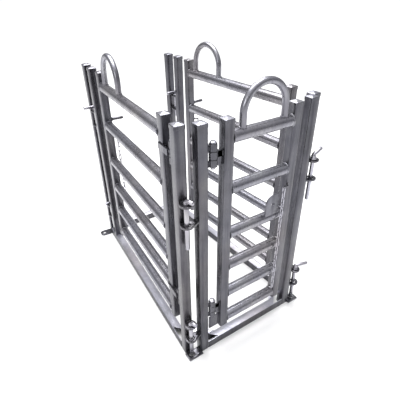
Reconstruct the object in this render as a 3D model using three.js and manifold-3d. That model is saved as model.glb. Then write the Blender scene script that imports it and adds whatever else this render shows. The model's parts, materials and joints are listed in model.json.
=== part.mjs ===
// Galvanised livestock crate: three hinged gates between fixed posts on a channel base,
// with drop pins at its corners. Millimetres, +Z up, +X right along the front, +Y to the rear.
// The plan is a trapezium: the front is the wide end and both sides lean inwards to the rear.
// Each side and each gate is drawn along +X with the outside of the crate at -Y, then turned.
import * as THREE from 'three';
import { mergeVertices } from 'three/addons/utils/BufferGeometryUtils.js';
import Module from 'manifold-3d';

const wasm = await Module();
wasm.setup();

// ---- driving dimensions ----
const FRONT_WIDTH = 685;
const LENGTH = 1162;
const SIDE_LEAN = THREE.MathUtils.degToRad(3.61);
const POST_HEIGHT = 1101;
const TUBE = 40;
const TUBE_WALL = 3;
const CAP_SKIRT = 14;
const CAP_SKIRT_OUT = 1.6;
const CAP_RISE = 7;
const GAP = 0.4;
const WELD_LAP = 1;

const BASE_WIDTH = 40;
const BASE_HEIGHT = 42;
const BASE_WALL = 4;
const COPE = 170;
const BRACE_WIDTH = 26;
const BRACE_THICK = 6;

const GATE_BOTTOM = 118;
const RAIL_LEVELS = [1032, 832, 628, 464, 308, 152];
const RAIL_HEIGHT = 48;
const RAIL_WIDTH = 46;
const RAIL_WALL = 3;
const LOOP_TUBE = 27;
const LOOP_WALL = 3;
const LOOP_SPAN = 195;
const LOOP_CENTRE_TOP = 1196;

// the front line, measured from the front-left corner
const FRONT_POST = { x: 88, y: TUBE / 2 };
const FRONT_GATE = { first: 187, last: 504, y: 9, loop: 351, reach: 20, hinges: [986, 257] };

// a side, measured from its front corner
const SIDE_FRONT_POST = 54;
const RIGHT_FRONT_POST_INSET = 20;
const SIDE_LATCH_POST = 1032;
const SIDE_REAR_POST = 1134;
const SIDE_GATE = { first: 176, last: 911, y: 30, loop: 746, reach: 26, hinges: [986, 302] };

// hinges: three knuckles on a vertical pin
const KNUCKLE_HEIGHT = 28;
const KNUCKLE_LIFT = 29;
const KNUCKLE_RADIUS = 15;
const KNUCKLE_BORE = 8.5;
const HINGE_PIN_RADIUS = 7.5;
const HINGE_PIN_HEAD = { radius: 12, thick: 7 };
const HINGE_PIN_TAIL = 10;
const STRAP_THICK = 6;
const STRAP_LENGTH = 30;
const STRAP_START = 8;
const KNUCKLE_WEB = 6;
// the plate that closes the gap under the front gate's lower hinge
const GAP_PLATE = { start: 113, bottom: 132, top: 202, thick: 6 };

// drop pins and the eye plates that they pass through
const PIN_RADIUS = 9;
const COLLAR = { radius: 16, thick: 6 };
const HANDLE_REST = PIN_RADIUS + 0.2;
const EYE_BORE = 12.5;
const EYE_RADIUS = 25;
const EYE_TRIM = 29.8;
const EYE_THICK = 8;
// a corner pin's distance from its own end of the front, and its distance behind the front line
const CORNER_PIN = { left: 22, right: 32, y: 11 };
const CORNER_EYES = { upper: [824, 736], lower: [206, 118] };
const CORNER_PIN_ENDS = { upper: 628, lower: 3 };
const REAR_PIN = { x: 1083, y: 16 };
const REAR_EYES = { upper: [863, 782], lower: [245, 166] };
const REAR_PIN_ENDS = { upper: 735, lower: 88 };
const GROUND_EYE = { bottom: 0, thick: 9, reach: 70, half: 24 };

// latches
const CHAIN_WIDTH = 16;
const CHAIN_CLEAR = 5;
const FRONT_CHAIN = { x: 457, y: -26, top: 767, length: 560 };
const SIDE_CHAIN = { x: 878, top: 760, length: 420 };
const CHAIN_STAPLE = 12;
const CHAIN_DROP = 14;
const KEEPER = { left: 376, right: 444, bottom: 650, top: 745, thick: 6, corner: 40 };
const KEEPER_SLOT = { fromRight: 30, rise: 50, radius: 8 };
const PEG = { level: 862, radius: 8, length: 66 };

// ---- materials ----
function steel(shade, roughness) {
  const color = new THREE.Color(shade, shade, shade * 1.03);
  return new THREE.MeshStandardMaterial({ color, roughness, metalness: 0.9 });
}
const POST_STEEL = steel(0.42, 0.42);
const GATE_STEEL = steel(0.46, 0.4);
const BASE_STEEL = steel(0.5, 0.38);
const HARDWARE_STEEL = steel(0.56, 0.34);
const CHAIN_STEEL = steel(0.5, 0.3);

// ---- solids ----
function toSolid(geometry) {
  const plain = geometry.clone();
  plain.deleteAttribute('normal');
  plain.deleteAttribute('uv');
  const merged = mergeVertices(plain, 1e-4);
  return new wasm.Manifold(new wasm.Mesh({
    numProp: 3,
    vertProperties: new Float32Array(merged.attributes.position.array),
    triVerts: new Uint32Array(merged.index.array),
  }));
}

function toMesh(name, solid, material) {
  const { vertProperties, triVerts } = solid.getMesh();
  const geometry = new THREE.BufferGeometry();
  geometry.setAttribute('position', new THREE.BufferAttribute(vertProperties, 3));
  geometry.setIndex(new THREE.BufferAttribute(triVerts, 1));
  geometry.computeVertexNormals();
  const mesh = new THREE.Mesh(geometry, material);
  mesh.name = name;
  return mesh;
}

function joined(solids) {
  return solids.reduce((whole, next) => whole.add(next));
}

function block(x0, x1, y0, y1, z0, z1) {
  const geometry = new THREE.BoxGeometry(x1 - x0, y1 - y0, z1 - z0);
  geometry.translate((x0 + x1) / 2, (y0 + y1) / 2, (z0 + z1) / 2);
  return toSolid(geometry);
}

function upright(radius, z0, z1, x = 0, y = 0, sides = 12) {
  const geometry = new THREE.CylinderGeometry(radius, radius, z1 - z0, sides);
  geometry.rotateX(Math.PI / 2);
  geometry.translate(x, y, (z0 + z1) / 2);
  return toSolid(geometry);
}

// a round bar from the axis x = y = 0, pointing at a heading in plan and tilted upwards
function lyingBar(radius, level, heading, tilt, length) {
  const geometry = new THREE.CylinderGeometry(radius, radius, length, 12);
  geometry.rotateZ(-Math.PI / 2);
  geometry.translate(length / 2 - PIN_RADIUS / 2, 0, 0);
  geometry.rotateY(-tilt);
  geometry.rotateZ(heading);
  geometry.translate(0, 0, level);
  return toSolid(geometry);
}

// a flat plate with its outline in plan
function plate(points, z0, z1) {
  const shape = new THREE.Shape(points.map(([x, y]) => new THREE.Vector2(x, y)));
  const geometry = new THREE.ExtrudeGeometry(shape, { depth: z1 - z0, bevelEnabled: false });
  geometry.translate(0, 0, z0);
  return toSolid(geometry);
}

function squareOutline(half) {
  const corners = [[-half, -half], [half, -half], [half, half], [-half, half]];
  return corners.map(([x, y]) => new THREE.Vector2(x, y));
}

// a square tube under a cap with a skirt and a low pyramid, standing at x, y
function cappedTube(x, y, bottom) {
  const shape = new THREE.Shape(squareOutline(TUBE / 2));
  shape.holes.push(new THREE.Path(squareOutline(TUBE / 2 - TUBE_WALL)));
  const depth = POST_HEIGHT - CAP_SKIRT / 2 - bottom;
  const tube = new THREE.ExtrudeGeometry(shape, { depth, bevelEnabled: false });
  tube.translate(0, 0, bottom);
  const half = TUBE / 2 + CAP_SKIRT_OUT;
  const skirt = block(-half, half, -half, half, POST_HEIGHT - CAP_SKIRT, POST_HEIGHT);
  const pyramid = new THREE.ConeGeometry(half * Math.SQRT2, CAP_RISE, 4);
  pyramid.rotateX(Math.PI / 2);
  pyramid.rotateZ(Math.PI / 4);
  pyramid.translate(0, 0, POST_HEIGHT + CAP_RISE / 2);
  return joined([toSolid(tube), skirt, toSolid(pyramid)]).translate([x, y, 0]);
}

function ringOutline(height, width, sides) {
  const curve = new THREE.EllipseCurve(0, 0, height / 2, width / 2, 0, Math.PI * 2);
  return curve.getPoints(sides).slice(0, -1);
}

// an oval tube along +X from x0 to x1, its longer axis level
function ovalRail(x0, x1, y, level) {
  const shape = new THREE.Shape(ringOutline(RAIL_WIDTH, RAIL_HEIGHT, 16));
  const inner = ringOutline(RAIL_WIDTH - 2 * RAIL_WALL, RAIL_HEIGHT - 2 * RAIL_WALL, 8);
  shape.holes.push(new THREE.Path(inner));
  const geometry = new THREE.ExtrudeGeometry(shape, { depth: x1 - x0, bevelEnabled: false });
  geometry.rotateX(Math.PI / 2);
  geometry.rotateZ(Math.PI / 2);
  geometry.translate(x0, y, level);
  return toSolid(geometry);
}

// the hand loop: two legs and a half circle of bent round tube, its feet on the top rail
function handLoop(centreX, y) {
  const radius = LOOP_SPAN / 2;
  const spring = LOOP_CENTRE_TOP - radius;
  const foot = RAIL_LEVELS[0] + RAIL_HEIGHT / 2 + GAP;
  const at = (x, z) => new THREE.Vector3(centreX + x, y, z);
  const onArc = (turn) => at(radius * Math.cos(turn), spring + radius * Math.sin(turn));
  const path = new THREE.CurvePath();
  path.add(new THREE.LineCurve3(at(-radius, foot), at(-radius, spring)));
  const chords = 14;
  for (let i = 0; i < chords; i += 1) {
    const from = Math.PI * (1 - i / chords);
    const to = Math.PI * (1 - (i + 1) / chords);
    path.add(new THREE.LineCurve3(onArc(from), onArc(to)));
  }
  path.add(new THREE.LineCurve3(at(radius, spring), at(radius, foot)));
  const shape = new THREE.Shape(ringOutline(LOOP_TUBE, LOOP_TUBE, 8));
  const bore = LOOP_TUBE - 2 * LOOP_WALL;
  shape.holes.push(new THREE.Path(ringOutline(bore, bore, 6)));
  return toSolid(new THREE.ExtrudeGeometry(shape, { steps: 18, extrudePath: path }));
}

// ---- hinges: the post carries the outer two knuckles and the stile the middle one ----
function knuckleBand(level, place) {
  const middle = level + place * KNUCKLE_LIFT;
  return [middle - KNUCKLE_HEIGHT / 2, middle + KNUCKLE_HEIGHT / 2];
}

function bored(solid, x, y, z0, z1) {
  return solid.subtract(upright(KNUCKLE_BORE, z0 - 1, z1 + 1, x, y));
}

function postKnuckles(x, gate, postFace, postInset = 0) {
  const y = hingeY(gate);
  return gate.hinges.flatMap((level) => [-1, 1].map((place) => {
    const [z0, z1] = knuckleBand(level, place);
    const half = KNUCKLE_WEB / 2;
    const inner = postInset > 0 ? postInset + 2 * KNUCKLE_WEB : y + half;
    const web = block(postFace - WELD_LAP, x, y - half, inner, z0 + 2, z1 - 2);
    return bored(joined([upright(KNUCKLE_RADIUS, z0, z1, x, y), web]), x, y, z0, z1);
  }));
}

// the stile's knuckle with its web, and on the sides a strap that laps on to the stile's outer face
function stileKnuckles(x, gate, strapped) {
  const y = hingeY(gate);
  const stileX = gate.first - TUBE / 2;
  const faceY = gate.y - TUBE / 2;
  return gate.hinges.map((level) => {
    const [z0, z1] = knuckleBand(level, 0);
    const half = KNUCKLE_WEB / 2;
    const end = stileX + STRAP_LENGTH;
    const web = block(x, stileX + WELD_LAP, y - half, y + half, z0 + 1, z1 - 1);
    const pieces = [upright(KNUCKLE_RADIUS, z0, z1, x, y), web];
    if (strapped) {
      pieces.push(block(x + STRAP_START, end, faceY - STRAP_THICK, faceY + WELD_LAP, z0 + 1, z1 - 1));
    }
    return bored(joined(pieces), x, y, z0, z1);
  });
}

function hingePin(level) {
  const bottom = knuckleBand(level, -1)[0] - HINGE_PIN_TAIL;
  const top = knuckleBand(level, 1)[1] + GAP;
  const shank = upright(HINGE_PIN_RADIUS, bottom, top + 1);
  return joined([shank, upright(HINGE_PIN_HEAD.radius, top, top + HINGE_PIN_HEAD.thick)]);
}

// ---- eye plates and drop pins ----
function eyePlate(x, y, z, tongue) {
  const low = z - EYE_THICK / 2;
  const high = z + EYE_THICK / 2;
  const blank = joined([upright(EYE_RADIUS, low, high, x, y, 16), plate(tongue, low, high)]);
  return blank.subtract(upright(EYE_BORE, low - 1, high + 1, x, y));
}

// a drop pin with a bar handle welded across its head; a pin held up off its top eye has a collar,
// and one without a collar rests on its handle
function dropPin(topEye, end, rise, heading, tilt, reach) {
  const seat = topEye + EYE_THICK / 2 + GAP;
  const pieces = [
    upright(PIN_RADIUS, end, seat + rise),
    lyingBar(PIN_RADIUS, seat + rise, heading, tilt, reach),
  ];
  if (rise > HANDLE_REST) pieces.push(upright(COLLAR.radius, seat, seat + COLLAR.thick));
  return joined(pieces);
}

function placedPin(name, solid, x, y) {
  const mesh = toMesh(name, solid, HARDWARE_STEEL);
  mesh.position.set(x, y, 0);
  return mesh;
}

// ---- posts ----
// the corner pin's place in a side's own frame
function sidePin(word) {
  return {
    x: CORNER_PIN[word] * Math.sin(SIDE_LEAN) + CORNER_PIN.y * Math.cos(SIDE_LEAN),
    y: CORNER_PIN[word] * Math.cos(SIDE_LEAN) - CORNER_PIN.y * Math.sin(SIDE_LEAN),
  };
}
const hingeY = (gate) => gate.y - TUBE / 2 + KNUCKLE_RADIUS;

// a post of the front line with its two eyes and the ground eye plate in the corner
function frontPost(x, knuckles) {
  const { y } = CORNER_PIN;
  const face = FRONT_POST.x - TUBE / 2 + WELD_LAP;
  const trim = block(x - 2 * EYE_RADIUS, FRONT_POST.x - TUBE / 2, EYE_TRIM, TUBE * 2, -1, POST_HEIGHT);
  const tongue = [[x, y - EYE_RADIUS], [face, 3], [face, 30], [x, y + 18]];
  const front = y - EYE_RADIUS;
  const outer = x - EYE_RADIUS;
  const ground = plate([[outer, front], [face, front], [face, 29], [outer, 29]], 0, GROUND_EYE.thick)
    .subtract(upright(EYE_BORE, -1, GROUND_EYE.thick + 1, x, y));
  return joined([
    cappedTube(FRONT_POST.x, FRONT_POST.y, 0),
    eyePlate(x, y, CORNER_EYES.upper[1], tongue).subtract(trim),
    eyePlate(x, y, CORNER_EYES.lower[1], tongue).subtract(trim),
    ground,
    ...knuckles,
  ]);
}

// a side's front post, set inwards from the side's outer face by the inset
function sideFrontPost(word, inset) {
  const { x, y } = sidePin(word);
  const face = SIDE_FRONT_POST - TUBE / 2 + WELD_LAP;
  const tongue = [[x, y - EYE_RADIUS], [face, inset + 8], [face, inset + TUBE - 4], [x, y + 14]];
  const hingeX = SIDE_FRONT_POST + TUBE / 2 + SIDE_GATE.reach;
  return joined([
    cappedTube(SIDE_FRONT_POST, inset + TUBE / 2, 0),
    eyePlate(x, y, CORNER_EYES.upper[0], tongue),
    eyePlate(x, y, CORNER_EYES.lower[0], tongue),
    ...postKnuckles(hingeX, SIDE_GATE, SIDE_FRONT_POST + TUBE / 2, inset),
  ]);
}

// a rear post with one eye of each pair, reaching into the space between the two rear posts
function rearPost(x, bottom, toPin, eyeIndex, extras) {
  const face = x + toPin * (TUBE / 2 - WELD_LAP);
  const low = REAR_PIN.y - 14;
  const high = REAR_PIN.y + 16;
  const tongue = [[REAR_PIN.x, low], [face, low], [face, high], [REAR_PIN.x, high]];
  if (toPin < 0) tongue.reverse();
  return joined([
    cappedTube(x, TUBE / 2, bottom),
    eyePlate(REAR_PIN.x, REAR_PIN.y, REAR_EYES.upper[eyeIndex], tongue),
    eyePlate(REAR_PIN.x, REAR_PIN.y, REAR_EYES.lower[eyeIndex], tongue),
    ...extras,
  ]);
}

// the ground eye plate that stands out sideways from the foot of a rear post
function groundEye() {
  const { thick, reach, half } = GROUND_EYE;
  const x = SIDE_REAR_POST + 4;
  const chamfer = half / 2;
  const outline = [[x - half, 1], [x - half, chamfer - reach], [x - chamfer, -reach],
    [x + chamfer, -reach], [x + half, chamfer - reach], [x + half, 1]];
  return plate(outline, GROUND_EYE.bottom, thick)
    .subtract(upright(EYE_BORE, -1, thick + 1, x, half - reach));
}

// ---- base ----
// an inverted channel along +X with its outer face on y = 0
function channel(x0, x1) {
  const inside = block(x0 - 1, x1 + 1, BASE_WALL, BASE_WIDTH - BASE_WALL, -1, BASE_HEIGHT - BASE_WALL);
  return block(x0, x1, 0, BASE_WIDTH, 0, BASE_HEIGHT).subtract(inside);
}

// the corner cut that leaves only the outer leg, on a 45 degree line
function cope() {
  const past = BASE_WIDTH + 8;
  const outline = [[-10, BASE_WALL], [COPE - BASE_WALL, BASE_WALL], [COPE - past, past], [-10, past]];
  return plate(outline, -1, BASE_HEIGHT + 1);
}

// the flat strip that ties the front channel to a side channel at 45 degrees
function cornerBrace() {
  const width = BRACE_WIDTH * Math.SQRT2;
  const edge = BASE_WIDTH + GAP;
  const lean = Math.tan(SIDE_LEAN);
  const sideEdge = (y) => (BASE_WIDTH + GAP) / Math.cos(SIDE_LEAN) + y * lean;
  const farStart = (COPE - edge) / (1 + lean);
  const farEnd = (COPE + width - edge) / (1 + lean);
  const outline = [[COPE - edge, edge], [COPE + width - edge, edge],
    [sideEdge(farEnd), farEnd], [sideEdge(farStart), farStart]];
  return plate(outline, BASE_HEIGHT - BRACE_THICK, BASE_HEIGHT);
}

// ---- gates ----
function makeGate(prefix, gate, hingeX, { keeper, strapped, hingeSide = [], latchSide }) {
  const group = new THREE.Group();
  const { first, last, y } = gate;
  const half = TUBE / 2;
  const knuckles = stileKnuckles(hingeX, gate, strapped);
  const hingeStile = joined([cappedTube(first, y, GATE_BOTTOM), ...knuckles, ...hingeSide]);
  const latchStile = joined([cappedTube(last, y, GATE_BOTTOM), ...latchSide]);
  group.add(toMesh(`${prefix}_hinge_stile`, hingeStile, GATE_STEEL));
  group.add(toMesh(`${prefix}_latch_stile`, latchStile, GATE_STEEL));
  RAIL_LEVELS.forEach((level, i) => {
    const rail = ovalRail(first + half + GAP, last - half - GAP, y, level);
    group.add(toMesh(`${prefix}_rail_${i + 1}`, rail, GATE_STEEL));
  });
  group.add(toMesh(`${prefix}_hand_loop`, handLoop(gate.loop, y), GATE_STEEL));
  if (keeper) group.add(toMesh(`${prefix}_latch_keeper`, keeper, HARDWARE_STEEL));
  for (const [word, level] of [['upper', gate.hinges[0]], ['lower', gate.hinges[1]]]) {
    group.add(placedPin(`${prefix}_${word}_hinge_pin`, hingePin(level), hingeX, hingeY(gate)));
  }
  return group;
}

// the plate that the front chain hooks on, upright over the third rail by the latch stile
function latchKeeper() {
  const { left, right, bottom, top, thick, corner } = KEEPER;
  const shape = new THREE.Shape();
  shape.moveTo(left, bottom);
  shape.lineTo(right, bottom);
  shape.lineTo(right, top);
  shape.absarc(left + corner, top - corner, corner, Math.PI / 2, Math.PI, false);
  const slot = new THREE.Path();
  slot.absarc(right - KEEPER_SLOT.fromRight, bottom + KEEPER_SLOT.rise, KEEPER_SLOT.radius, 0, Math.PI * 2);
  shape.holes.push(slot);
  const geometry = new THREE.ExtrudeGeometry(shape, { depth: thick, bevelEnabled: false, curveSegments: 8 });
  geometry.rotateX(Math.PI / 2);
  geometry.translate(0, FRONT_GATE.y - TUBE / 2 - GAP, 0);
  return toSolid(geometry);
}

// a hanging chain as one plain bar that starts far enough below its pivot to swing clear of the staple
function hangingChain(name, x, y, top, length) {
  const half = CHAIN_WIDTH / 2;
  const mesh = toMesh(name, block(-half, half, -half, half, -length, -CHAIN_DROP), CHAIN_STEEL);
  mesh.position.set(x, y, top);
  return mesh;
}

// the staple on a stile that a chain hangs from
function staple(x0, x1, y0, y1, chainTop) {
  return block(x0, x1, y0, y1, chainTop + GAP, chainTop + GAP + CHAIN_STAPLE);
}

// ---- the front ----
function makeFront() {
  const front = new THREE.Group();
  const hingeX = FRONT_POST.x + TUBE / 2 + FRONT_GATE.reach;
  const left = frontPost(CORNER_PIN.left, postKnuckles(hingeX, FRONT_GATE, FRONT_POST.x + TUBE / 2));
  front.add(toMesh('front_left_post', left, POST_STEEL));
  const right = toMesh('front_right_post', frontPost(CORNER_PIN.right, []), POST_STEEL);
  right.scale.x = -1;
  right.position.x = FRONT_WIDTH;
  front.add(right);

  const start = FRONT_POST.x + TUBE / 2 + GAP;
  const mirrorCope = cope().mirror([1, 0, 0]).translate([FRONT_WIDTH, 0, 0]);
  const bar = channel(start, FRONT_WIDTH - start).subtract(cope()).subtract(mirrorCope);
  front.add(toMesh('front_base_channel', bar, BASE_STEEL));
  front.add(toMesh('left_corner_brace', cornerBrace(), BASE_STEEL));
  const brace = toMesh('right_corner_brace', cornerBrace(), BASE_STEEL);
  brace.scale.x = -1;
  brace.position.x = FRONT_WIDTH;
  front.add(brace);

  const { x, y, top, length } = FRONT_CHAIN;
  const face = FRONT_GATE.y - TUBE / 2;
  const hook = staple(x - CHAIN_WIDTH / 2, FRONT_GATE.last, y - CHAIN_WIDTH / 2, face + WELD_LAP, top);
  const { start: plateStart, bottom, top: plateTop, thick } = GAP_PLATE;
  const plateY = hingeY(FRONT_GATE);
  const stileFace = FRONT_GATE.first - TUBE / 2;
  const gapPlate = block(plateStart, stileFace + WELD_LAP, plateY - thick / 2, plateY + thick / 2,
    bottom, plateTop);
  front.add(makeGate('front_gate', FRONT_GATE, hingeX, {
    keeper: latchKeeper(),
    strapped: false,
    hingeSide: [gapPlate],
    latchSide: [hook],
  }));
  front.add(hangingChain('front_latch_chain', x, y, top, length));

  const { upper, lower } = CORNER_EYES;
  const ends = CORNER_PIN_ENDS;
  const deg = THREE.MathUtils.degToRad;
  const otherX = FRONT_WIDTH - CORNER_PIN.right;
  front.add(placedPin('front_left_upper_drop_pin',
    dropPin(upper[0], ends.upper, HANDLE_REST, deg(-62), 0, 36), CORNER_PIN.left, CORNER_PIN.y));
  front.add(placedPin('front_left_lower_drop_pin',
    dropPin(lower[0], ends.lower, HANDLE_REST, deg(-62), 0, 36), CORNER_PIN.left, CORNER_PIN.y));
  front.add(placedPin('front_right_upper_drop_pin',
    dropPin(upper[0], ends.upper, 20, deg(4), deg(22), 56), otherX, CORNER_PIN.y));
  front.add(placedPin('front_right_lower_drop_pin',
    dropPin(lower[0], ends.lower, 20, deg(-16), 0, 74), otherX, CORNER_PIN.y));
  return front;
}

// ---- a side, with the headings of its rear pins' handles in its own frame ----
function makeSide(word, frontInset, upperHeading, lowerHeading, chainInside) {
  const side = new THREE.Group();
  const barStart = SIDE_FRONT_POST + TUBE / 2 + GAP;
  const barEnd = SIDE_REAR_POST - TUBE / 2 - GAP;
  side.add(toMesh(`${word}_base_channel`, channel(barStart, barEnd).subtract(cope()), BASE_STEEL));
  side.add(toMesh(`${word}_side_front_post`, sideFrontPost(word, frontInset), POST_STEEL));
  const latchPost = rearPost(SIDE_LATCH_POST, BASE_HEIGHT + GAP, 1, 0, []);
  side.add(toMesh(`${word}_side_latch_post`, latchPost, POST_STEEL));
  const endPost = rearPost(SIDE_REAR_POST, 0, -1, 1, [groundEye()]);
  side.add(toMesh(`${word}_side_rear_post`, endPost, POST_STEEL));

  const { x, top, length } = SIDE_CHAIN;
  const half = TUBE / 2;
  const facing = chainInside ? 1 : -1;
  const face = SIDE_GATE.y + facing * half;
  const chainY = face + facing * (CHAIN_WIDTH / 2 + CHAIN_CLEAR);
  const wide = [face - facing * WELD_LAP, face + facing * (CHAIN_WIDTH + CHAIN_CLEAR)];
  const hook = staple(x - CHAIN_WIDTH / 2, SIDE_GATE.last, Math.min(...wide), Math.max(...wide), top);
  const peg = new THREE.CylinderGeometry(PEG.radius, PEG.radius, PEG.length, 12);
  peg.translate(SIDE_GATE.last - half + 10, face + facing * (PEG.length / 2 - WELD_LAP), PEG.level);
  const hingeX = SIDE_FRONT_POST + half + SIDE_GATE.reach;
  const latchSide = [hook, toSolid(peg)];
  side.add(makeGate(`${word}_gate`, SIDE_GATE, hingeX, { strapped: true, latchSide }));
  side.add(hangingChain(`${word}_latch_chain`, x, chainY, top, length));

  const deg = THREE.MathUtils.degToRad;
  side.add(placedPin(`rear_${word}_upper_drop_pin`,
    dropPin(REAR_EYES.upper[0], REAR_PIN_ENDS.upper, 18, deg(upperHeading), 0, 66), REAR_PIN.x, REAR_PIN.y));
  side.add(placedPin(`rear_${word}_lower_drop_pin`,
    dropPin(REAR_EYES.lower[0], REAR_PIN_ENDS.lower, 18, deg(lowerHeading), 0, 50), REAR_PIN.x, REAR_PIN.y));
  return side;
}

function rearBase() {
  const cos = Math.cos(SIDE_LEAN);
  const sin = Math.sin(SIDE_LEAN);
  const corner = (along, inward) => along * sin + inward * cos;
  const start = corner(SIDE_REAR_POST + TUBE / 2, TUBE) + CAP_SKIRT_OUT + GAP;
  return channel(start, FRONT_WIDTH - start)
    .mirror([0, 1, 0])
    .translate([0, LENGTH, 0]);
}

// ---- assembly ----
const crate = new THREE.Group();
crate.add(makeFront());

const leftSide = makeSide('left', 0, -90, -122, true);
leftSide.scale.y = -1;
leftSide.rotation.z = Math.PI / 2 - SIDE_LEAN;
crate.add(leftSide);

const rightSide = makeSide('right', RIGHT_FRONT_POST_INSET, 90, -90, false);
rightSide.rotation.z = Math.PI / 2 + SIDE_LEAN;
rightSide.position.x = FRONT_WIDTH;
crate.add(rightSide);

crate.add(toMesh('rear_base_channel', rearBase(), BASE_STEEL));

// the origin is the middle of the whole crate's footprint
crate.updateMatrixWorld(true);
const extent = new THREE.Box3().setFromObject(crate, true);
crate.position.x = -(extent.min.x + extent.max.x) / 2;
crate.position.y = -(extent.min.y + extent.max.y) / 2;

export default crate;
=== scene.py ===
import json
import math
import bmesh
import bpy
from mathutils import Matrix, Vector, noise


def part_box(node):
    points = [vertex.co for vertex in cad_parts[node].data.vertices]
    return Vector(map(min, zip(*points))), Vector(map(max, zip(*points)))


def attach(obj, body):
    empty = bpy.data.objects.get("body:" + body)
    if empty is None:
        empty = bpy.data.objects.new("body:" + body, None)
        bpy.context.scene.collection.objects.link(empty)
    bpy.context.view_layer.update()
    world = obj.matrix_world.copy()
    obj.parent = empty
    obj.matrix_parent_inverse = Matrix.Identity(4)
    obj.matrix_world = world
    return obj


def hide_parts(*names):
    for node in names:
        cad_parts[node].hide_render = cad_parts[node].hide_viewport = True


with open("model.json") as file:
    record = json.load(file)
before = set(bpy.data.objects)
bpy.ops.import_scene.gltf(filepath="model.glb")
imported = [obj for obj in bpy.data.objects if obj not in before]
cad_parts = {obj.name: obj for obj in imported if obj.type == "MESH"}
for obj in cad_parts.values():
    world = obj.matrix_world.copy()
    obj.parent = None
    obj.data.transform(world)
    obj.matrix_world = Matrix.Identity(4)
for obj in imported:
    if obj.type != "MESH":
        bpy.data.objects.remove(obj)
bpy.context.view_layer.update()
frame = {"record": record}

# A galvanised livestock crate: the fine surface of every tube, cap, plate, pin, chain link and weld.
# Lengths are millimetres in the front's and the sides' own frames, which are placed from the CAD model.
# Each side is drawn along +X from its front corner, with the outside of the crate at -Y.

# ---- driving dimensions ----
FRONT_WIDTH = 685
SIDE_LEAN = math.radians(3.61)
TUBE = 40
TUBE_WALL = 3
TUBE_CORNER = 5
POST_HEIGHT = 1101
CAP_SKIRT = 14
CAP_OUT = 1.5
CAP_RISE = 6.8
OPEN_END_DEPTH = 60
BASE_WIDTH = 40
BASE_HEIGHT = 42
BASE_WALL = 4
COPE = 170
BRACE_WIDTH = 26
BRACE_THICK = 6
GATE_BOTTOM = 118
RAIL_LEVELS = [1032, 832, 628, 464, 308, 152]
RAIL_HEIGHT = 48
RAIL_WIDTH = 46
LOOP_RADIUS = 13.3
LOOP_SPAN = 195
LOOP_CENTRE_TOP = 1196
FRONT_POST_X = 88
FRONT_GATE = {"first": 187, "last": 504, "y": 9, "loop": 351, "reach": 20,
              "hinges": {"upper": 986, "lower": 257}}
SIDE_GATE = {"first": 176, "last": 911, "y": 30, "loop": 746, "reach": 26,
             "hinges": {"upper": 986, "lower": 302}}
SIDE_FRONT_POST = 54
SIDE_FRONT_INSET = {"left": 0, "right": 20}
SIDE_LATCH_POST = 1032
SIDE_REAR_POST = 1134
KNUCKLE = {"height": 28, "lift": 29, "radius": 15, "bore": 8.5, "web": 6}
HINGE_PIN = {"radius": 7.5, "head": 12, "head_thick": 7, "tail": 10}
STRAP = {"thick": 6, "length": 30}
GAP_PLATE = {"start": 113, "bottom": 132, "top": 202, "thick": 6}
PIN_RADIUS = 9
COLLAR = {"radius": 16, "thick": 6}
HANDLE_REST = PIN_RADIUS + 0.2
EYE_BORE = 12.5
EYE_RADIUS = 25
EYE_TRIM = 29.6
EYE_THICK = 8
CORNER_PIN = {"left": 22, "right": 32, "y": 11}
CORNER_EYES = {"upper": (824, 736), "lower": (206, 118)}
CORNER_PIN_ENDS = {"upper": 628, "lower": 3}
REAR_PIN = (1083, 16)
REAR_EYES = {"upper": (863, 782), "lower": (245, 166)}
REAR_PIN_ENDS = {"upper": 735, "lower": 88}
GROUND_EYE = {"thick": 9, "reach": 70, "half": 24}
CHAIN_WIDTH = 16
CHAIN_CLEAR = 5
FRONT_CHAIN = {"x": 457, "y": -26, "top": 767, "length": 560}
SIDE_CHAIN = {"x": 878, "top": 760, "length": 420}
LINK_WIRE = 2.3
LINK_PITCH = 25
KEEPER = {"left": 376, "right": 444, "bottom": 650, "top": 745, "thick": 6, "corner": 40}
KEEPER_SLOT = {"from_right": 30, "rise": 50, "radius": 8}
PEG = {"level": 862, "radius": 8, "length": 66}
HOOK_WIRE = 3.6
BEAD = 3.2
BEAD_STEP = 2.2
SHARP_EDGE = math.radians(38)
GAP = 0.4

# ---- camera: metres from the front's left corner, and degrees ----
CAMERA = {"place": (-0.506, -0.891, 1.489), "yaw": 32.95, "pitch": 31.73, "roll": -0.82, "lens": 32.45}
SENSOR_WIDTH = 36

# ---- frames: the front's corner is found from the front channel's place in the CAD model ----
CHANNEL_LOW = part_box("front_base_channel")[0]
CHANNEL_START = FRONT_POST_X + TUBE / 2 + GAP
CORNER = Vector((CHANNEL_LOW[0] - CHANNEL_START / 1000, CHANNEL_LOW[1], 0))
MM = Matrix.Scale(0.001, 4)
LEAN_SIN = math.sin(SIDE_LEAN)
LEAN_COS = math.cos(SIDE_LEAN)


def placed(x_axis, y_axis, start_x):
    turn = Matrix((x_axis, y_axis, (0, 0, 1))).transposed().to_4x4()
    return Matrix.Translation(CORNER + Vector((start_x / 1000, 0, 0))) @ turn @ MM


FRONT = placed((1, 0, 0), (0, 1, 0), 0)
FRONT_MIRRORED = placed((-1, 0, 0), (0, 1, 0), FRONT_WIDTH)
SIDES = {
    "left": placed((LEAN_SIN, LEAN_COS, 0), (LEAN_COS, -LEAN_SIN, 0), 0),
    "right": placed((-LEAN_SIN, LEAN_COS, 0), (-LEAN_COS, -LEAN_SIN, 0), FRONT_WIDTH),
}
BODY_OF = {node: body for body, nodes in frame["record"]["behaviour"]["bodies"].items() for node in nodes}
SLOT_OF = {part["node"]: part["material_slot"] for part in frame["record"]["subparts"]}


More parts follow.
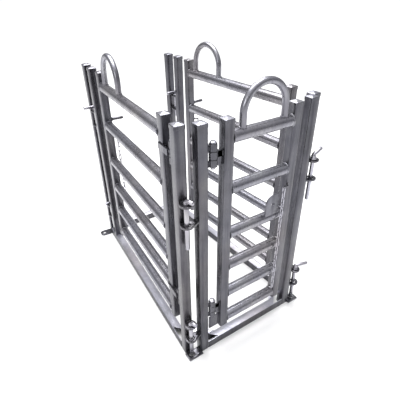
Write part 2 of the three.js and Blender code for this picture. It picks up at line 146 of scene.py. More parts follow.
# ---- materials ----
def add_noise(tree, coords, scale, detail, stretch=(1, 1, 1)):
    mapping = tree.nodes.new("ShaderNodeMapping")
    mapping.inputs["Scale"].default_value = stretch
    tree.links.new(coords, mapping.inputs["Vector"])
    texture = tree.nodes.new("ShaderNodeTexNoise")
    texture.inputs["Scale"].default_value = scale
    texture.inputs["Detail"].default_value = detail
    tree.links.new(mapping.outputs["Vector"], texture.inputs["Vector"])
    return texture.outputs["Fac"]


def add_ramp(tree, factor, stops):
    ramp = tree.nodes.new("ShaderNodeValToRGB")
    elements = ramp.color_ramp.elements
    for element, (place, colour) in zip((elements[0], elements[1]), (stops[0], stops[-1])):
        element.position = place
        element.color = (*colour, 1)
    for place, colour in stops[1:-1]:
        elements.new(place).color = (*colour, 1)
    tree.links.new(factor, ramp.inputs["Fac"])
    return ramp.outputs["Color"]


def add_mix(tree, blend, amount, first, second):
    mix = tree.nodes.new("ShaderNodeMix")
    mix.data_type = "RGBA"
    mix.blend_type = blend
    mix.inputs[0].default_value = amount
    tree.links.new(first, mix.inputs[6])
    tree.links.new(second, mix.inputs[7])
    return mix.outputs[2]


def add_range(tree, value, low, high):
    node = tree.nodes.new("ShaderNodeMapRange")
    node.inputs["From Min"].default_value = 0.3
    node.inputs["From Max"].default_value = 0.7
    node.inputs["To Min"].default_value = low
    node.inputs["To Max"].default_value = high
    tree.links.new(value, node.inputs["Value"])
    return node.outputs["Result"]


# hot-dip zinc: cloudy patches, crystals of the zinc, runs down the tube and a fine grain
def galvanised(name, shade, roughness, streaks, grain=0.14):
    material = bpy.data.materials.new(name)
    material.use_nodes = True
    tree = material.node_tree
    shader = tree.nodes["Principled BSDF"]
    coords = tree.nodes.new("ShaderNodeTexCoord").outputs["Object"]
    patches = add_noise(tree, coords, 11, 5)
    cool = (shade * 0.80, shade * 0.80, shade * 0.87)
    middle = (shade, shade * 0.99, shade * 1.10)
    light = (shade * 1.22, shade * 1.22, shade * 1.27)
    colour = add_ramp(tree, patches, [(0.28, cool), (0.5, middle), (0.74, light)])
    runs = add_noise(tree, coords, 1, 4, (75, 75, 3.2))
    run_stops = [(0.36, (0.62, 0.61, 0.66)), (0.5, (0.92, 0.92, 0.94)), (0.66, (1, 1, 1))]
    run_tint = add_ramp(tree, runs, run_stops)
    colour = add_mix(tree, "MULTIPLY", streaks, colour, run_tint)
    crystals = tree.nodes.new("ShaderNodeTexVoronoi")
    crystals.inputs["Scale"].default_value = 95
    tree.links.new(coords, crystals.inputs["Vector"])
    crystal_tint = add_ramp(tree, crystals.outputs["Distance"], [(0, (1, 1, 1)), (0.8, (0.84, 0.85, 0.88))])
    colour = add_mix(tree, "MULTIPLY", 0.45, colour, crystal_tint)
    warmth = add_noise(tree, coords, 3.1, 2)
    warm_tint = add_ramp(tree, warmth, [(0.4, (0.97, 0.98, 1.0)), (0.68, (1.0, 0.93, 0.86))])
    colour = add_mix(tree, "MULTIPLY", 0.6, colour, warm_tint)
    tree.links.new(colour, shader.inputs["Base Color"])
    shader.inputs["Metallic"].default_value = 0.92
    tree.links.new(add_range(tree, runs, roughness + 0.1, roughness - 0.07), shader.inputs["Roughness"])
    bump = tree.nodes.new("ShaderNodeBump")
    bump.inputs["Strength"].default_value = grain
    bump.inputs["Distance"].default_value = 0.0009
    tree.links.new(add_noise(tree, coords, 170, 6), bump.inputs["Height"])
    swell = tree.nodes.new("ShaderNodeBump")
    swell.inputs["Strength"].default_value = 0.22
    swell.inputs["Distance"].default_value = 0.004
    tree.links.new(add_noise(tree, coords, 1, 2, (38, 38, 7)), swell.inputs["Height"])
    tree.links.new(bump.outputs["Normal"], swell.inputs["Normal"])
    tree.links.new(swell.outputs["Normal"], shader.inputs["Normal"])
    return material


MATERIALS = {
    "posts": galvanised("post_zinc", 0.115, 0.26, 0.85),
    "gates": galvanised("gate_zinc", 0.13, 0.27, 0.7),
    # a lighter copy of the gate zinc for rails and hand loops: it paints on the broad highlight their oval
    # tops catch
    "lit_rails": galvanised("rail_painted_sheen_zinc", 0.26, 0.29, 0.35, 0.08),
    # a lighter copy of the zinc for the cap tops: painted highlight
    "cap_highlight": galvanised("cap_painted_highlight_zinc", 0.27, 0.30, 0.3),
    "keeper": galvanised("keeper_zinc", 0.19, 0.36, 0.4),
    # the base in two copies of one zinc: a light one for faces that look up, painted light; a dark one for
    # upright faces, painted shade
    "base": galvanised("base_painted_lit_zinc", 0.56, 0.38, 0.3),
    "base_legs_painted_shade": galvanised("base_leg_painted_shade_zinc", 0.10, 0.36, 0.6),
    "hardware": galvanised("hardware_zinc", 0.42, 0.24, 0.3),
    "chain": galvanised("chain_zinc", 0.45, 0.22, 0.15),
}


# ---- mesh building ----
class Shape:
    """Points and faces in millimetres, gathered piece by piece."""

    def __init__(self):
        self.points = []
        self.faces = []

    def add(self, points, faces):
        first = len(self.points)
        self.points.extend(Vector(p) for p in points)
        self.faces.extend([first + i for i in face] for face in faces)

    # a skin through rings of equal length, closed at both ends or round on itself
    def loft(self, rings, endless=False):
        count = len(rings[0])
        steps = len(rings) if endless else len(rings) - 1
        faces = []
        for i in range(steps):
            here = i * count
            there = (i + 1) % len(rings) * count
            for j in range(count):
                k = (j + 1) % count
                faces.append([here + j, here + k, there + k, there + j])
        if not endless:
            faces.append(list(range(count))[::-1])
            faces.append([steps * count + j for j in range(count)])
        self.add([p for ring in rings for p in ring], faces)

    # a round bar along points that lie in the plane with this normal
    def bar(self, points, radii, normal, endless=False, sides=12):
        points = [Vector(p) for p in points]
        normal = Vector(normal).normalized()
        last = len(points) - 1
        rings = []
        for i, point in enumerate(points):
            before = points[i - 1] if endless or i > 0 else point
            after = points[(i + 1) % len(points)] if endless or i < last else point
            across = normal.cross((after - before).normalized())
            radius = radii[i] if isinstance(radii, list) else radii
            angles = [2 * math.pi * j / sides for j in range(sides)]
            rings.append([point + radius * (math.cos(a) * normal + math.sin(a) * across) for a in angles])
        self.loft(rings, endless)

    # a straight bar with rounded ends
    def rod(self, start, end, radius, sides=20):
        start = Vector(start)
        end = Vector(end)
        along = (end - start).normalized()
        normal = along.orthogonal()
        turns = [math.radians(a) for a in (8, 35, 62, 90)]
        near = [start + along * radius * 0.5 * (1 - math.cos(t)) for t in turns]
        far = [end - along * radius * 0.5 * (1 - math.cos(t)) for t in turns[::-1]]
        swell = [radius * math.sin(t) for t in turns]
        self.bar(near + far, swell + swell[::-1], normal, sides=sides)

    # a turned piece standing at x, y, from (radius, z) pairs
    def turned(self, x, y, profile, sides=32):
        angles = [2 * math.pi * j / sides for j in range(sides)]
        self.loft([[(x + r * math.cos(a), y + r * math.sin(a), z) for a in angles] for r, z in profile])

    # a turned ring with a bore
    def turned_ring(self, x, y, profile, sides=32):
        angles = [2 * math.pi * j / sides for j in range(sides)]
        rings = [[(x + r * math.cos(a), y + r * math.sin(a), z) for a in angles] for r, z in profile]
        self.loft(rings, endless=True)

    # a weld: a closed or open bead with the ripples of its passes
    def bead(self, points, normal, radius=BEAD, endless=False):
        points = [Vector(p) for p in points]
        radii = []
        for i, point in enumerate(points):
            ripple = 0.9 + 0.16 * math.sin(i * 1.9) + 0.3 * noise.noise(point * 0.05)
            radii.append(radius * ripple)
        if not endless:
            radii[0] *= 0.35
            radii[-1] *= 0.35
        self.bar(points, radii, normal, endless, sides=8)

    def bead_line(self, start, end, normal, radius=BEAD):
        start = Vector(start)
        end = Vector(end)
        count = max(6, int((end - start).length / BEAD_STEP))
        self.bead([start.lerp(end, i / count) for i in range(count + 1)], normal, radius)


def rounded_outline(half_x, half_y, corner, steps=5):
    points = []
    for quarter, (sx, sy) in enumerate(((1, 1), (-1, 1), (-1, -1), (1, -1))):
        for i in range(steps + 1):
            angle = math.pi / 2 * (quarter + i / steps)
            x = sx * (half_x - corner) + corner * math.cos(angle)
            points.append((x, sy * (half_y - corner) + corner * math.sin(angle)))
    return points


def at_level(outline, x, y, z):
    return [(x + px, y + py, z) for px, py in outline]


# a box with rounded upright edges and softened rims
def add_block(shape, x0, x1, y0, y1, z0, z1, soft=1.2):
    half_x = (x1 - x0) / 2
    half_y = (y1 - y0) / 2
    soft = min(soft, half_x * 0.45, half_y * 0.45, (z1 - z0) * 0.3)
    outer = rounded_outline(half_x, half_y, soft * 1.02, 3)
    inner = rounded_outline(half_x - soft, half_y - soft, soft * 0.02, 3)
    levels = [(inner, z0), (outer, z0 + soft), (outer, z1 - soft), (inner, z1)]
    shape.loft([at_level(ring, (x0 + x1) / 2, (y0 + y1) / 2, z) for ring, z in levels])


def hull(points):
    points = sorted(set((round(x, 4), round(y, 4)) for x, y in points))

    def chain(run):
        kept = []
        for p in run:
            while len(kept) > 1:
                (ax, ay), (bx, by) = kept[-2:]
                if (bx - ax) * (p[1] - ay) - (by - ay) * (p[0] - ax) > 0:
                    break
                kept.pop()
            kept.append(p)
        return kept[:-1]

    return chain(points) + chain(points[::-1])


def circle(x, y, radius, sides=40):
    turns = [2 * math.pi * i / sides for i in range(sides)]
    return [(x + radius * math.cos(t), y + radius * math.sin(t)) for t in turns]


# a flat plate between two levels with softened rims and round holes; turn stands it up or lays it over
def add_plate(shape, outline, holes, low, high, turn=None, soft=0.9):
    curve = bpy.data.curves.new("plate_outline", "CURVE")
    curve.dimensions = "2D"
    curve.fill_mode = "BOTH"
    curve.extrude = (high - low) / 2 - soft
    curve.bevel_depth = soft
    curve.bevel_resolution = 1
    curve.offset = -soft
    for loop in [outline, *holes]:
        spline = curve.splines.new("POLY")
        spline.points.add(len(loop) - 1)
        for point, (x, y) in zip(spline.points, loop):
            point.co = (x, y, 0, 1)
        spline.use_cyclic_u = True
    holder = bpy.data.objects.new("plate_outline", curve)
    mesh = bpy.data.meshes.new_from_object(holder)
    lift = Vector((0, 0, (low + high) / 2))
    move = turn if turn else Matrix.Identity(4)
    shape.add([move @ (v.co + lift) for v in mesh.vertices], [list(f.vertices) for f in mesh.polygons])
    bpy.data.objects.remove(holder)
    bpy.data.curves.remove(curve)
    bpy.data.meshes.remove(mesh)


# the pyramid on a pressed cap is drawn in a lighter copy of the zinc: a painted highlight for the overhead
# light its top faces catch
def paint_cap_highlight(mesh):
    mesh.materials.append(MATERIALS["cap_highlight"])
    for face in mesh.polygons:
        if face.center.z > POST_HEIGHT / 1000:
            face.material_index = 1


# turns a shape into a piece that stands for a CAD node and moves with the node's body
def make_piece(node, shape, place, look=None):
    mesh = bpy.data.meshes.new(node + "_fine")
    mesh.from_pydata([place @ p for p in shape.points], [], shape.faces)
    work = bmesh.new()
    work.from_mesh(mesh)
    bmesh.ops.remove_doubles(work, verts=work.verts, dist=1e-6)
    bmesh.ops.recalc_face_normals(work, faces=work.faces)
    work.to_mesh(mesh)
    work.free()
    mesh.shade_smooth()
    mesh.set_sharp_from_angle(angle=SHARP_EDGE)
    piece = bpy.data.objects.new(node + "_fine", mesh)
    bpy.context.scene.collection.objects.link(piece)
    mesh.materials.append(MATERIALS[look or SLOT_OF[node]])
    # post and stile caps get the lighter zinc on their tops, a painted highlight
    if look is None and SLOT_OF[node] in ("posts", "gates"):
        paint_cap_highlight(mesh)
    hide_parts(node)
    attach(piece, BODY_OF[node])
    return mesh


# ---- tubes ----
# a square tube with rolled corners, open at its foot, under a pressed cap with a skirt and a low pyramid
def add_capped_tube(shape, x, y, bottom):
    half = TUBE / 2
    skirt_foot = POST_HEIGHT - CAP_SKIRT
    out = half + CAP_OUT
    bore = rounded_outline(half - TUBE_WALL, half - TUBE_WALL, TUBE_CORNER - TUBE_WALL)
    tube = rounded_outline(half, half, TUBE_CORNER)
    foot = rounded_outline(half - 0.5, half - 0.5, TUBE_CORNER - 0.5)
    skirt = rounded_outline(out, out, TUBE_CORNER + CAP_OUT)
    brim = rounded_outline(out - 1.4, out - 1.4, TUBE_CORNER)
    levels = [
        (bore, bottom + OPEN_END_DEPTH), (bore, bottom + 0.5), (foot, bottom), (tube, bottom + 0.6),
        (tube, skirt_foot), (skirt, skirt_foot + 0.8), (skirt, POST_HEIGHT - 1.5), (brim, POST_HEIGHT),
    ]
    for share in (0.75, 0.5, 0.28, 0.12):
        size = (out - 1.4) * share
        ring = rounded_outline(size, size, TUBE_CORNER * share)
        levels.append((ring, POST_HEIGHT + CAP_RISE * (1 - share) ** 0.85))
    shape.loft([at_level(ring, x, y, z) for ring, z in levels])


def oval_ring(x, y, level, grow=0.0, sides=40):
    half_y = RAIL_WIDTH / 2 + grow
    half_z = RAIL_HEIGHT / 2 + grow
    turns = [2 * math.pi * i / sides for i in range(sides)]
    return [(x, y + half_y * math.cos(t), level + half_z * math.sin(t)) for t in turns]


def make_rails(prefix, gate, place):
    start = gate["first"] + TUBE / 2
    end = gate["last"] - TUBE / 2
    for i, level in enumerate(RAIL_LEVELS):
        rail = Shape()
        rail.loft([oval_ring(x, gate["y"], level) for x in (start, end)])
        for x in (start + 1.2, end - 1.2):
            rail.bead(oval_ring(x, gate["y"], level, -0.6, 56), (1, 0, 0), endless=True)
        # rails take the lighter zinc, a painted highlight
        make_piece(f"{prefix}_rail_{i + 1}", rail, place, "lit_rails")


# the bent hand loop with its feet welded on the top rail
def make_loop(prefix, gate, place):
    shape = Shape()
    arc = LOOP_SPAN / 2
    spring = LOOP_CENTRE_TOP - arc
    foot = RAIL_LEVELS[0] + RAIL_HEIGHT * 0.2
    seat = RAIL_LEVELS[0] + RAIL_HEIGHT / 2
    x, y = gate["loop"], gate["y"]
    turns = [math.pi * (1 - i / 36) for i in range(37)]
    bend = [(x + arc * math.cos(t), y, spring + arc * math.sin(t)) for t in turns]
    legs = [(x - arc, y, foot)], [(x + arc, y, foot)]
    shape.bar(legs[0] + bend + legs[1], LOOP_RADIUS, (0, 1, 0), sides=28)
    for side in (-arc, arc):
        ring = []
        for i in range(36):
            turn = 2 * math.pi * i / 36
            across = LOOP_RADIUS * math.sin(turn)
            drop = RAIL_HEIGHT / 2 * (1 - math.sqrt(1 - (across / (RAIL_WIDTH / 2)) ** 2))
            ring.append((x + side + LOOP_RADIUS * math.cos(turn), y + across, seat - drop + 1))
        shape.bead(ring, (0, 0, 1), endless=True)
    # the loop takes the same lighter zinc, a painted highlight
    make_piece(f"{prefix}_hand_loop", shape, place, "lit_rails")


# ---- hinges ----
def knuckle_band(level, place):
    middle = level + place * KNUCKLE["lift"]
    return middle - KNUCKLE["height"] / 2, middle + KNUCKLE["height"] / 2


def add_knuckle(shape, x, y, z0, z1):
    radius, bore = KNUCKLE["radius"], KNUCKLE["bore"]
    shape.turned_ring(x, y, [
        (bore, z0 + 1), (bore + 1, z0), (radius - 1.6, z0), (radius, z0 + 1.6),
        (radius, z1 - 1.6), (radius - 1.6, z1), (bore + 1, z1), (bore, z1 - 1),
    ])


# the web from a tube's face to just inside a knuckle's wall, with its welds
def add_web(shape, face, x, y0, y1, z0, z1):
    toward = 1 if x > face else -1
    edge = x - toward * (KNUCKLE["bore"] + 2)
    add_block(shape, min(face - toward, edge), max(face - toward, edge), y0, y1, z0, z1)
    for y in (y0 - 0.5, y1 + 0.5):
        shape.bead_line((face + toward, y, z0 + 1), (face + toward, y, z1 - 1), (1, 0, 0), 2.8)


def hinge_y(gate):
    return gate["y"] - TUBE / 2 + KNUCKLE["radius"]


def add_post_knuckles(shape, x, gate, face, inset=0):
    y = hinge_y(gate)
    half = KNUCKLE["web"] / 2
    inner = inset + 2 * KNUCKLE["web"] if inset > 0 else y + half
    for level in gate["hinges"].values():
        for place in (-1, 1):
            z0, z1 = knuckle_band(level, place)
            add_knuckle(shape, x, y, z0, z1)
            add_web(shape, face, x, y - half, inner, z0 + 2, z1 - 2)


def add_stile_knuckles(shape, x, gate, strapped):
    y = hinge_y(gate)
    face = gate["first"] - TUBE / 2
    front = gate["y"] - TUBE / 2
    half = KNUCKLE["web"] / 2
    for level in gate["hinges"].values():
        z0, z1 = knuckle_band(level, 0)
        add_knuckle(shape, x, y, z0, z1)
        add_web(shape, face, x, y - half, y + half, z0 + 1, z1 - 1)
        if strapped:
            end = face + STRAP["length"]
            start = x + KNUCKLE["bore"] + 1.5
            add_block(shape, start, end, front - STRAP["thick"] + 0.2, front + 1, z0 + 1, z1 - 1)
            shape.bead_line((end, front - 1, z0 + 2), (end, front - 1, z1 - 2), (1, 0, 0))


def make_hinge_pins(prefix, x, gate, place):
    y = hinge_y(gate)
    for word, level in gate["hinges"].items():
        low = knuckle_band(level, -1)[0] - HINGE_PIN["tail"]
        top = knuckle_band(level, 1)[1] + GAP
        radius, head = HINGE_PIN["radius"], HINGE_PIN["head"]
        crown = top + HINGE_PIN["head_thick"]
        pin = Shape()
        pin.turned(x, y, [
            (1, low), (radius - 2, low), (radius, low + 2), (radius, top), (head - 1, top), (head, top + 1),
            (head, crown - 3), (head - 1.2, crown - 1.2), (head - 4, crown - 0.3), (1, crown),
        ])
        make_piece(f"{prefix}_{word}_hinge_pin", pin, place)


# ---- eye plates and drop pins ----
def add_eye(shape, x, y, level, face, low, high, trim=math.inf):
    rim = [(px, min(py, trim)) for px, py in circle(x, y, EYE_RADIUS)]
    outline = hull(rim + [(face, low), (face, min(high, trim))])
    hole = circle(x, y, EYE_BORE, 32)
    add_plate(shape, outline, [hole], level - EYE_THICK / 2, level + EYE_THICK / 2)
    away = -1 if face > x else 1
    for side in (-1, 1):
        z = level + side * EYE_THICK / 2
        shape.bead_line((face + away * 2, low + 2, z), (face + away * 2, high - 2, z), (0, 0, 1))


# a drop pin with a bar handle welded across its head; one without a collar rests on its handle
def make_drop_pin(node, spot, top_eye, end, rise, heading, tilt, reach, place):
    x, y = spot
    seat = top_eye + EYE_THICK / 2 + GAP
    top = seat + rise
    pin = Shape()
    wide, thick = COLLAR["radius"], COLLAR["thick"]
    collar = [
        (PIN_RADIUS, seat), (wide - 1.5, seat), (wide, seat + 1.5), (wide, seat + thick - 1.5),
        (wide - 1.5, seat + thick), (PIN_RADIUS + 2, seat + thick), (PIN_RADIUS, seat + thick + 2),
    ]
    shank = collar if rise > HANDLE_REST else []
    pin.turned(x, y, [
        (1, end), (PIN_RADIUS - 3, end), (PIN_RADIUS, end + 4), *shank, (PIN_RADIUS, top),
        (PIN_RADIUS - 3, top + 4), (1, top + 5),
    ])
    turn = math.radians(heading)
    rake = math.radians(tilt)
    along = Vector((math.cos(turn) * math.cos(rake), math.sin(turn) * math.cos(rake), math.sin(rake)))
    head = Vector((x, y, top))
    pin.rod(head - along * PIN_RADIUS / 2, head + along * (reach - PIN_RADIUS / 2), PIN_RADIUS)
    neck = [(px, py, top - 6) for px, py in circle(x, y, PIN_RADIUS - 0.5, 28)]
    pin.bead(neck, (0, 0, 1), 2.6, endless=True)
    make_piece(node, pin, place)


# ---- posts ----
def make_front_post(node, word, hinged, place):
    post = Shape()
    add_capped_tube(post, FRONT_POST_X, TUBE / 2, 0)
    x, y = CORNER_PIN[word], CORNER_PIN["y"]
    face = FRONT_POST_X - TUBE / 2 + 1
    for pair in CORNER_EYES.values():
        add_eye(post, x, y, pair[1], face, 3, 30, EYE_TRIM)
    outer = x - EYE_RADIUS
    ground = [(outer, y - EYE_RADIUS), (face, y - EYE_RADIUS), (face, 29), (outer, 29)]
    add_plate(post, ground, [circle(x, y, EYE_BORE, 32)], 0, GROUND_EYE["thick"])
    post.bead_line((face - 2, 2, GROUND_EYE["thick"]), (face - 2, 27, GROUND_EYE["thick"]), (0, 0, 1))
    if hinged:
        hinge_x = FRONT_POST_X + TUBE / 2 + FRONT_GATE["reach"]
        add_post_knuckles(post, hinge_x, FRONT_GATE, FRONT_POST_X + TUBE / 2)
    make_piece(node, post, place)


def make_side_front_post(word, place):
    post = Shape()
    inset = SIDE_FRONT_INSET[word]
    add_capped_tube(post, SIDE_FRONT_POST, inset + TUBE / 2, 0)
    x = CORNER_PIN[word] * LEAN_SIN + CORNER_PIN["y"] * LEAN_COS
    y = CORNER_PIN[word] * LEAN_COS - CORNER_PIN["y"] * LEAN_SIN
    face = SIDE_FRONT_POST - TUBE / 2 + 1
    for pair in CORNER_EYES.values():
        add_eye(post, x, y, pair[0], face, inset + 8, inset + TUBE - 4)
    hinge_x = SIDE_FRONT_POST + TUBE / 2 + SIDE_GATE["reach"]
    add_post_knuckles(post, hinge_x, SIDE_GATE, SIDE_FRONT_POST + TUBE / 2, inset)
    make_piece(f"{word}_side_front_post", post, place)


def make_rear_posts(word, place):
    x, y = REAR_PIN
    latch = Shape()
    foot = BASE_HEIGHT + GAP
    add_capped_tube(latch, SIDE_LATCH_POST, TUBE / 2, foot)
    end = Shape()
    add_capped_tube(end, SIDE_REAR_POST, TUBE / 2, 0)
    for pair in REAR_EYES.values():
        add_eye(latch, x, y, pair[0], SIDE_LATCH_POST + TUBE / 2 - 1, y - 14, y + 16)
        add_eye(end, x, y, pair[1], SIDE_REAR_POST - TUBE / 2 + 1, y - 14, y + 16)
    for side in (-1, 1):
        toe = SIDE_LATCH_POST + side * (TUBE / 2 + 1)
        latch.bead_line((toe, 3, foot + 1), (toe, TUBE - 3, foot + 1), (0, 0, 1))
    middle = SIDE_REAR_POST + 4
    half, reach = GROUND_EYE["half"], GROUND_EYE["reach"]
    outline = [(middle - half, 1), (middle - half, half / 2 - reach), (middle - half / 2, -reach),
               (middle + half / 2, -reach), (middle + half, half / 2 - reach), (middle + half, 1)]
    add_plate(end, outline, [circle(middle, half - reach, EYE_BORE, 32)], 0, GROUND_EYE["thick"])
    lip = GROUND_EYE["thick"]
    end.bead_line((SIDE_REAR_POST - 16, -2, lip), (SIDE_REAR_POST + 18, -2, lip), (0, 0, 1))
    make_piece(f"{word}_side_latch_post", latch, place)
    make_piece(f"{word}_side_rear_post", end, place)


# ---- base ----
# an inverted channel along +X with its outer face on y = 0; a coped end keeps only the outer leg
def make_channel(node, x0, x1, coped_start, coped_end, place):
    bar = Shape()
    add_block(bar, x0, x1, 0, BASE_WALL, 0, BASE_HEIGHT, 1.0)
    inner = BASE_WIDTH - BASE_WALL
    under = BASE_HEIGHT - BASE_WALL
    section = [(BASE_WALL - 0.6, BASE_HEIGHT), (BASE_WALL - 0.6, under), (inner, under), (inner, 0),
               (BASE_WIDTH, 0), (BASE_WIDTH, BASE_HEIGHT - 3), (BASE_WIDTH - 1, BASE_HEIGHT - 1),
               (BASE_WIDTH - 3, BASE_HEIGHT)]
    start = [(COPE - y if coped_start else x0, y, z) for y, z in section]
    end = [(coped_end - COPE + y if coped_end else x1, y, z) for y, z in section]
    bar.loft([start, end])
    mesh = make_piece(node, bar, place)
    # faces that look up keep the light zinc, painted light on the web; the rest take the dark copy, painted
    # shade on the legs
    mesh.materials.append(MATERIALS["base_legs_painted_shade"])
    for face in mesh.polygons:
        face.material_index = 0 if face.normal.z > 0.5 else 1


def make_brace(node, place):
    width = BRACE_WIDTH * math.sqrt(2)
    edge = BASE_WIDTH + GAP
    lean = math.tan(SIDE_LEAN)
    far_start = (COPE - edge) / (1 + lean)
    far_end = (COPE + width - edge) / (1 + lean)
    outline = [(COPE - edge, edge), (COPE + width - edge, edge),
               (edge / LEAN_COS + far_end * lean, far_end), (edge / LEAN_COS + far_start * lean, far_start)]
    brace = Shape()
    add_plate(brace, outline, [], BASE_HEIGHT - BRACE_THICK, BASE_HEIGHT)
    brace.bead_line((COPE - edge + 3, edge + 1, BASE_HEIGHT - 1),
                    (COPE + width - edge - 3, edge + 1, BASE_HEIGHT - 1), (0, 0, 1), 2.6)
    make_piece(node, brace, place)


# ---- chains ----
# welded links, each turned a quarter from the one above it
def make_chain(node, x, y, top, length, place):
    chain = Shape()
    bend = CHAIN_WIDTH / 2 - LINK_WIRE - 0.4
    straight = LINK_PITCH / 2 + LINK_WIRE - bend
    turns = [math.pi * j / 8 for j in range(9)]
    for i in range(int((length - 2 * LINK_WIRE) / LINK_PITCH)):
        middle = Vector((x, y, top - i * LINK_PITCH - LINK_PITCH / 2 + LINK_WIRE))
        normal, wide = Vector((1, 0, 0)), Vector((0, 1, 0))
        if i % 2:
            normal, wide = wide, normal
        points = []
        for upper in (1, -1):
            for turn in turns:
                rise = upper * (straight + bend * math.sin(turn))
                points.append(middle + wide * (bend * math.cos(turn) * upper) + Vector((0, 0, rise)))
        chain.bar(points, LINK_WIRE, normal, endless=True, sides=10)
    make_piece(node, chain, place)


# the bent hook on a stile that the chain's first link hangs from
def add_hook(shape, x, y, stile_x, face, top):
    level = top + GAP + 4
    away = 1 if y > face else -1
    bend = abs(y - face)
    turns = [math.pi / 2 * i / 8 for i in range(9)]
    arc = [(stile_x + 8 - bend * math.sin(t), face + away * bend * (1 - math.cos(t)), level) for t in turns]
    path = [(stile_x + 8, face - away * 2, level)] + arc[1:] + [(x - 5, y, level)]
    shape.bar(path, HOOK_WIRE, (0, 0, 1), sides=14)


# ---- gates ----
def make_gate(prefix, gate, hinge_x, strapped, place, chain_x, chain_y, chain_top, peg_side):
    hinge = Shape()
    add_capped_tube(hinge, gate["first"], gate["y"], GATE_BOTTOM)
    add_stile_knuckles(hinge, hinge_x, gate, strapped)
    if not strapped:
        middle = hinge_y(gate)
        half = GAP_PLATE["thick"] / 2
        face = gate["first"] - TUBE / 2
        add_block(hinge, GAP_PLATE["start"], face + 1, middle - half, middle + half,
                  GAP_PLATE["bottom"], GAP_PLATE["top"])
        for level in gate["hinges"].values():
            flap = level - KNUCKLE["lift"] * 1.5
            start = hinge_x + KNUCKLE["radius"] + 1.5
            add_block(hinge, start, face + 1, middle - half, middle + half, flap, level + 12)
        hinge.bead_line((face - 1, middle - half, GAP_PLATE["bottom"] + 3),
                        (face - 1, middle - half, GAP_PLATE["top"] - 3), (1, 0, 0))
    make_piece(f"{prefix}_hinge_stile", hinge, place)

    latch = Shape()
    add_capped_tube(latch, gate["last"], gate["y"], GATE_BOTTOM)
    face = gate["y"] + peg_side * TUBE / 2
    edge = gate["last"] - TUBE / 2
    add_hook(latch, chain_x, chain_y, edge, face, chain_top)
    if strapped:
        x = edge + 10
        tip = face + peg_side * (PEG["length"] - 2)
        latch.rod((x, face - peg_side, PEG["level"]), (x, tip, PEG["level"]), PEG["radius"])
        ring = [(x + 9 * math.cos(t), face + peg_side, PEG["level"] + 9 * math.sin(t))
                for t in [2 * math.pi * i / 28 for i in range(28)]]
        latch.bead(ring, (0, 1, 0), endless=True)
    make_piece(f"{prefix}_latch_stile", latch, place)
    make_rails(prefix, gate, place)
    make_loop(prefix, gate, place)
    make_hinge_pins(prefix, hinge_x, gate, place)


def make_keeper():
    left, right = KEEPER["left"], KEEPER["right"]
    bottom, top, corner = KEEPER["bottom"], KEEPER["top"], KEEPER["corner"]
    turns = [math.pi / 2 * (1 + i / 10) for i in range(11)]
    arc = [(left + corner + corner * math.cos(t), top - corner + corner * math.sin(t)) for t in turns]
    outline = [(left, bottom), (right, bottom), (right, top)] + arc
    hole = circle(right - KEEPER_SLOT["from_right"], bottom + KEEPER_SLOT["rise"], KEEPER_SLOT["radius"], 28)
    front = FRONT_GATE["y"] - TUBE / 2 - GAP
    stand_up = Matrix.Translation((0, front, 0)) @ Matrix.Rotation(math.pi / 2, 4, "X")
    keeper = Shape()
    add_plate(keeper, outline, [hole], 0, KEEPER["thick"], stand_up)
    keeper.bead_line((left + 4, front - 1, bottom + 1), (right - 4, front - 1, bottom + 1), (0, 0, 1))
    make_piece("front_gate_latch_keeper", keeper, FRONT, "keeper")


# ---- the crate ----
def make_front():
    make_front_post("front_left_post", "left", True, FRONT)
    make_front_post("front_right_post", "right", False, FRONT_MIRRORED)
    make_channel("front_base_channel", CHANNEL_START, FRONT_WIDTH - CHANNEL_START, True, FRONT_WIDTH, FRONT)
    make_brace("left_corner_brace", FRONT)
    make_brace("right_corner_brace", FRONT_MIRRORED)
    hinge_x = FRONT_POST_X + TUBE / 2 + FRONT_GATE["reach"]
    make_gate("front_gate", FRONT_GATE, hinge_x, False, FRONT,
              FRONT_CHAIN["x"], FRONT_CHAIN["y"], FRONT_CHAIN["top"], -1)
    make_keeper()
    make_chain("front_latch_chain", *FRONT_CHAIN.values(), FRONT)
    left = (CORNER_PIN["left"], CORNER_PIN["y"])
    right = (FRONT_WIDTH - CORNER_PIN["right"], CORNER_PIN["y"])
    for name, spot, word, rise, heading, tilt, reach in (
        ("front_left_upper", left, "upper", HANDLE_REST, -62, 0, 36),
        ("front_left_lower", left, "lower", HANDLE_REST, -62, 0, 36),
        ("front_right_upper", right, "upper", 20, 4, 22, 56),
        ("front_right_lower", right, "lower", 20, -16, 0, 74),
    ):
        make_drop_pin(f"{name}_drop_pin", spot, CORNER_EYES[word][0], CORNER_PIN_ENDS[word],
                      rise, heading, tilt, reach, FRONT)


def make_side(word, upper_heading, lower_heading, chain_side):
    place = SIDES[word]
    start = SIDE_FRONT_POST + TUBE / 2 + GAP
    make_channel(f"{word}_base_channel", start, SIDE_REAR_POST - TUBE / 2 - GAP, True, None, place)
    make_side_front_post(word, place)
    make_rear_posts(word, place)
    chain_y = SIDE_GATE["y"] + chain_side * (TUBE / 2 + CHAIN_WIDTH / 2 + CHAIN_CLEAR)
    hinge_x = SIDE_FRONT_POST + TUBE / 2 + SIDE_GATE["reach"]
    x, top, length = SIDE_CHAIN.values()
    make_gate(f"{word}_gate", SIDE_GATE, hinge_x, True, place, x, chain_y, top, chain_side)
    make_chain(f"{word}_latch_chain", x, chain_y, top, length, place)
    for level, rise, heading, reach in (("upper", 18, upper_heading, 66), ("lower", 18, lower_heading, 50)):
        make_drop_pin(f"rear_{word}_{level}_drop_pin", REAR_PIN, REAR_EYES[level][0], REAR_PIN_ENDS[level],
                      rise, heading, 0, reach, place)


def make_rear_base():
    low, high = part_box("rear_base_channel")
    place = Matrix.Translation((low[0], high[1], 0)) @ Matrix.Diagonal((0.001, -0.001, 0.001, 1))
    make_channel("rear_base_channel", 0, (high[0] - low[0]) * 1000, False, None, place)


make_front()
make_side("left", -90, -122, 1)
make_side("right", 90, -90, -1)
make_rear_base()


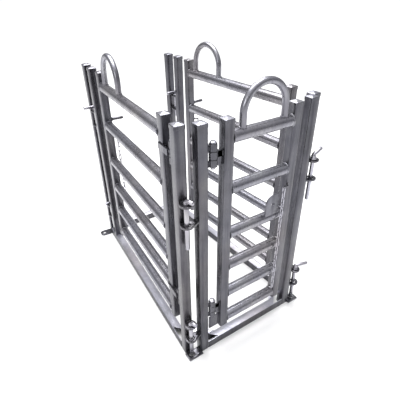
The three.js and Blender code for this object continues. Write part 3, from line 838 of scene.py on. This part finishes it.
# ---- floor, light and camera ----
def make_floor():
    mesh = bpy.data.meshes.new("floor")
    reach = 60
    mesh.from_pydata([(-reach, -reach, -0.001), (reach, -reach, -0.001), (reach, reach, -0.001),
                      (-reach, reach, -0.001)], [], [(0, 1, 2, 3)])
    floor = bpy.data.objects.new("floor", mesh)
    bpy.context.scene.collection.objects.link(floor)
    material = bpy.data.materials.new("pale_floor")
    material.use_nodes = True
    shader = material.node_tree.nodes["Principled BSDF"]
    shader.inputs["Base Color"].default_value = (0.9, 0.9, 0.9, 1)
    shader.inputs["Roughness"].default_value = 0.9
    shader.inputs["Specular IOR Level"].default_value = 0.1
    mesh.materials.append(material)


def make_sky():
    world = bpy.data.worlds.new("studio")
    world.use_nodes = True
    tree = world.node_tree
    background = tree.nodes["Background"]
    split = tree.nodes.new("ShaderNodeSeparateXYZ")
    tree.links.new(tree.nodes.new("ShaderNodeTexCoord").outputs["Generated"], split.inputs["Vector"])
    stops = [(0, (0.16, 0.16, 0.17)), (0.35, (0.35, 0.35, 0.37)), (1, (1.0, 1.0, 1.0))]
    tree.links.new(add_ramp(tree, split.outputs["Z"], stops), background.inputs["Color"])
    background.inputs["Strength"].default_value = 1.25
    bpy.context.scene.world = world


def make_light(name, spot, size, power):
    light = bpy.data.lights.new(name, "AREA")
    light.shape = "RECTANGLE"
    light.size, light.size_y = size
    light.energy = power
    lamp = bpy.data.objects.new(name, light)
    lamp.location = spot
    lamp.rotation_euler = (Vector((0, 0, 0.5)) - lamp.location).to_track_quat("-Z", "Y").to_euler()
    bpy.context.scene.collection.objects.link(lamp)


def make_sun():
    light = bpy.data.lights.new("sun", "SUN")
    light.energy = 1.0
    light.angle = math.radians(60)
    lamp = bpy.data.objects.new("sun", light)
    bpy.context.scene.collection.objects.link(lamp)


def make_camera():
    yaw = math.radians(CAMERA["yaw"])
    pitch = math.radians(CAMERA["pitch"])
    roll = math.radians(CAMERA["roll"])
    ahead = Vector((math.sin(yaw) * math.cos(pitch), math.cos(yaw) * math.cos(pitch), -math.sin(pitch)))
    level = Vector((math.cos(yaw), -math.sin(yaw), 0))
    upward = level.cross(ahead)
    right = level * math.cos(roll) + upward * math.sin(roll)
    top = upward * math.cos(roll) - level * math.sin(roll)
    turn = Matrix((right, top, -ahead)).transposed().to_4x4()
    data = bpy.data.cameras.new("camera")
    data.sensor_width = SENSOR_WIDTH
    data.lens = CAMERA["lens"]
    camera = bpy.data.objects.new("camera", data)
    camera.matrix_world = Matrix.Translation(CORNER + Vector(CAMERA["place"])) @ turn
    bpy.context.scene.collection.objects.link(camera)
    bpy.context.scene.camera = camera


make_floor()
make_sky()
make_light("overhead", (0.2, 0.9, 4.2), (3.2, 3.2), 240)
make_light("side", (-3.0, -1.6, 2.4), (1.6, 1.6), 30)
make_sun()
make_camera()
bpy.context.scene.view_settings.view_transform = "Standard"
